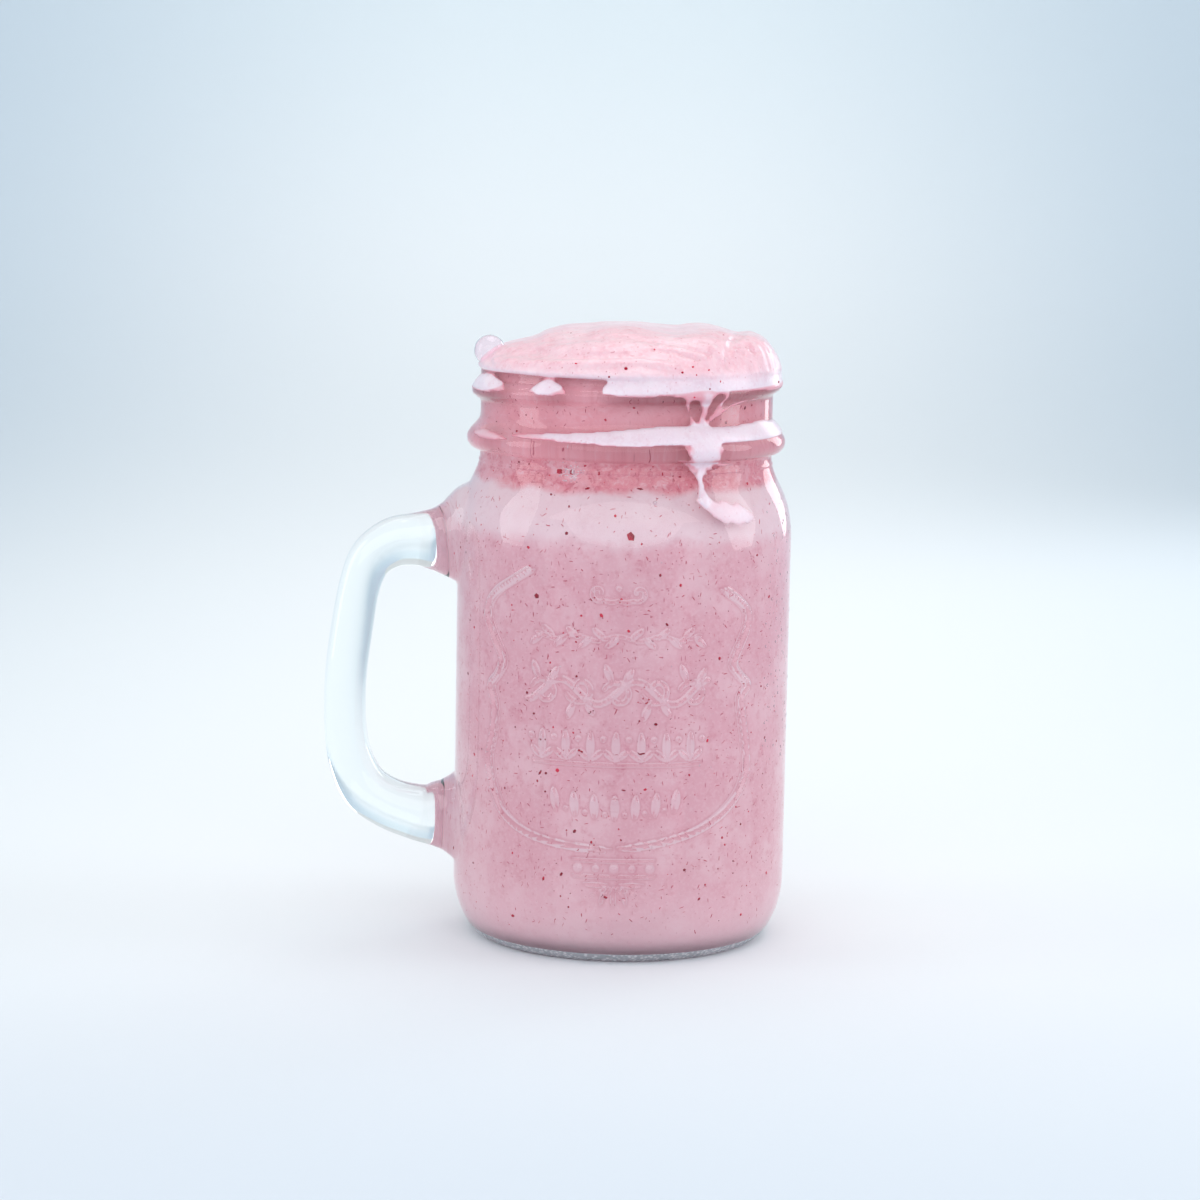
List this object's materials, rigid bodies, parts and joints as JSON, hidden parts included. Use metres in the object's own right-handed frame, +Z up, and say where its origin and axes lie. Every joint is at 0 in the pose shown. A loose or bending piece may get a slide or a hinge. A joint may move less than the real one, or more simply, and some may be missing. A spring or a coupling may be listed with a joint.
{
  "type": "jar of milk drink",
  "caption": "Clear glass drinking jar with a screw neck and a side handle, heaped over the brim with a pink fruit shake that runs down one side.",
  "frame": {"origin": "on the surface the jar stands on, under the middle of the whole object's box; the jar's own axis is 15.09 mm to the right of it, at +X", "axes": "+Z up, the handle points along -X, the front with the raised frame faces -Y"},
  "size_m": [0.1064, 0.0767, 0.1408],
  "materials": {
    "glass": "clear moulded glass, smooth",
    "fruit_shake": "wet blended pink fruit shake with fine dark red specks"
  },
  "bodies": {
    "root": {"jar": "glass", "drink": "fruit_shake"}
  },
  "joints": []
}
